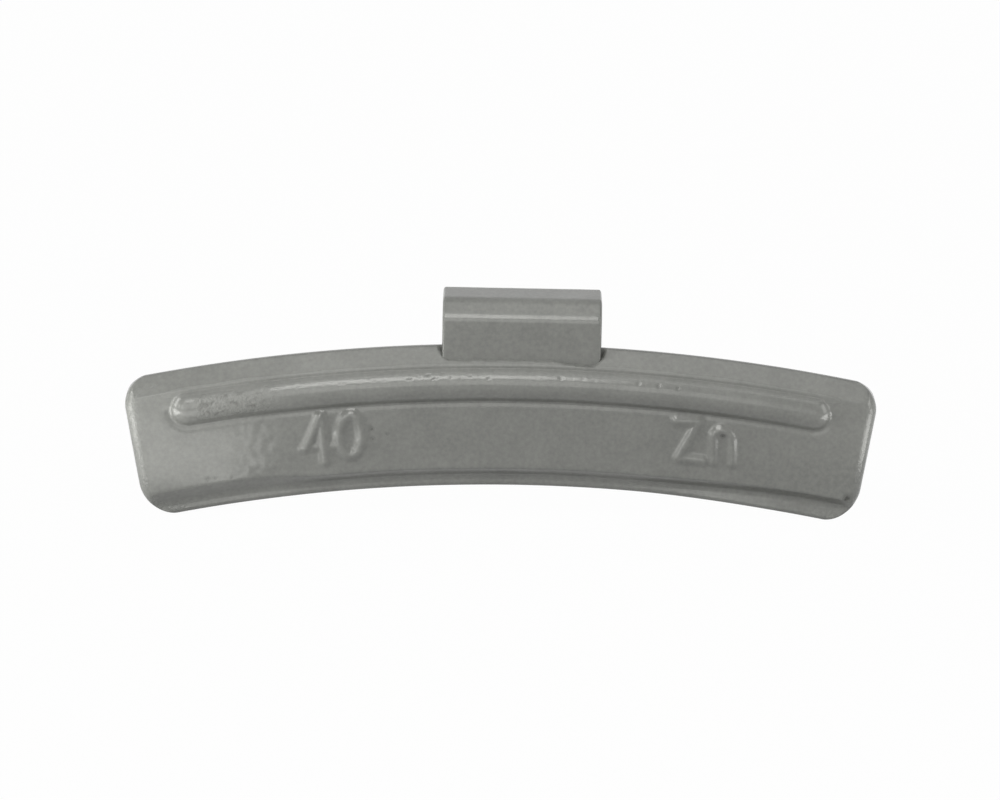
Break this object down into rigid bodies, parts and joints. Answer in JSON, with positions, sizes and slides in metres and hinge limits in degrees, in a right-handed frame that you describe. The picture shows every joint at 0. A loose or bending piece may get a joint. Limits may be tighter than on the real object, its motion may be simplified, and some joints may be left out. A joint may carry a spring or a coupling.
{
  "type": "clip-on wheel balance weight",
  "caption": "Curved cast zinc bar with a raised rib and a bent steel clip that hooks over a wheel's rim flange to balance the wheel.",
  "frame": {"origin": "seat of the rim flange: the middle of the bar's length, under the hook, half way across its slot", "axes": "+X along the bar, +Y from the ribbed face to the hook's leg, +Z away from the wheel's axis"},
  "size_m": [0.0898, 0.0119, 0.0268],
  "materials": {
    "grey_coating": "satin"
  },
  "bodies": {
    "root": {"weight_body": "grey_coating", "steel_clip": "grey_coating"}
  },
  "joints": []
}
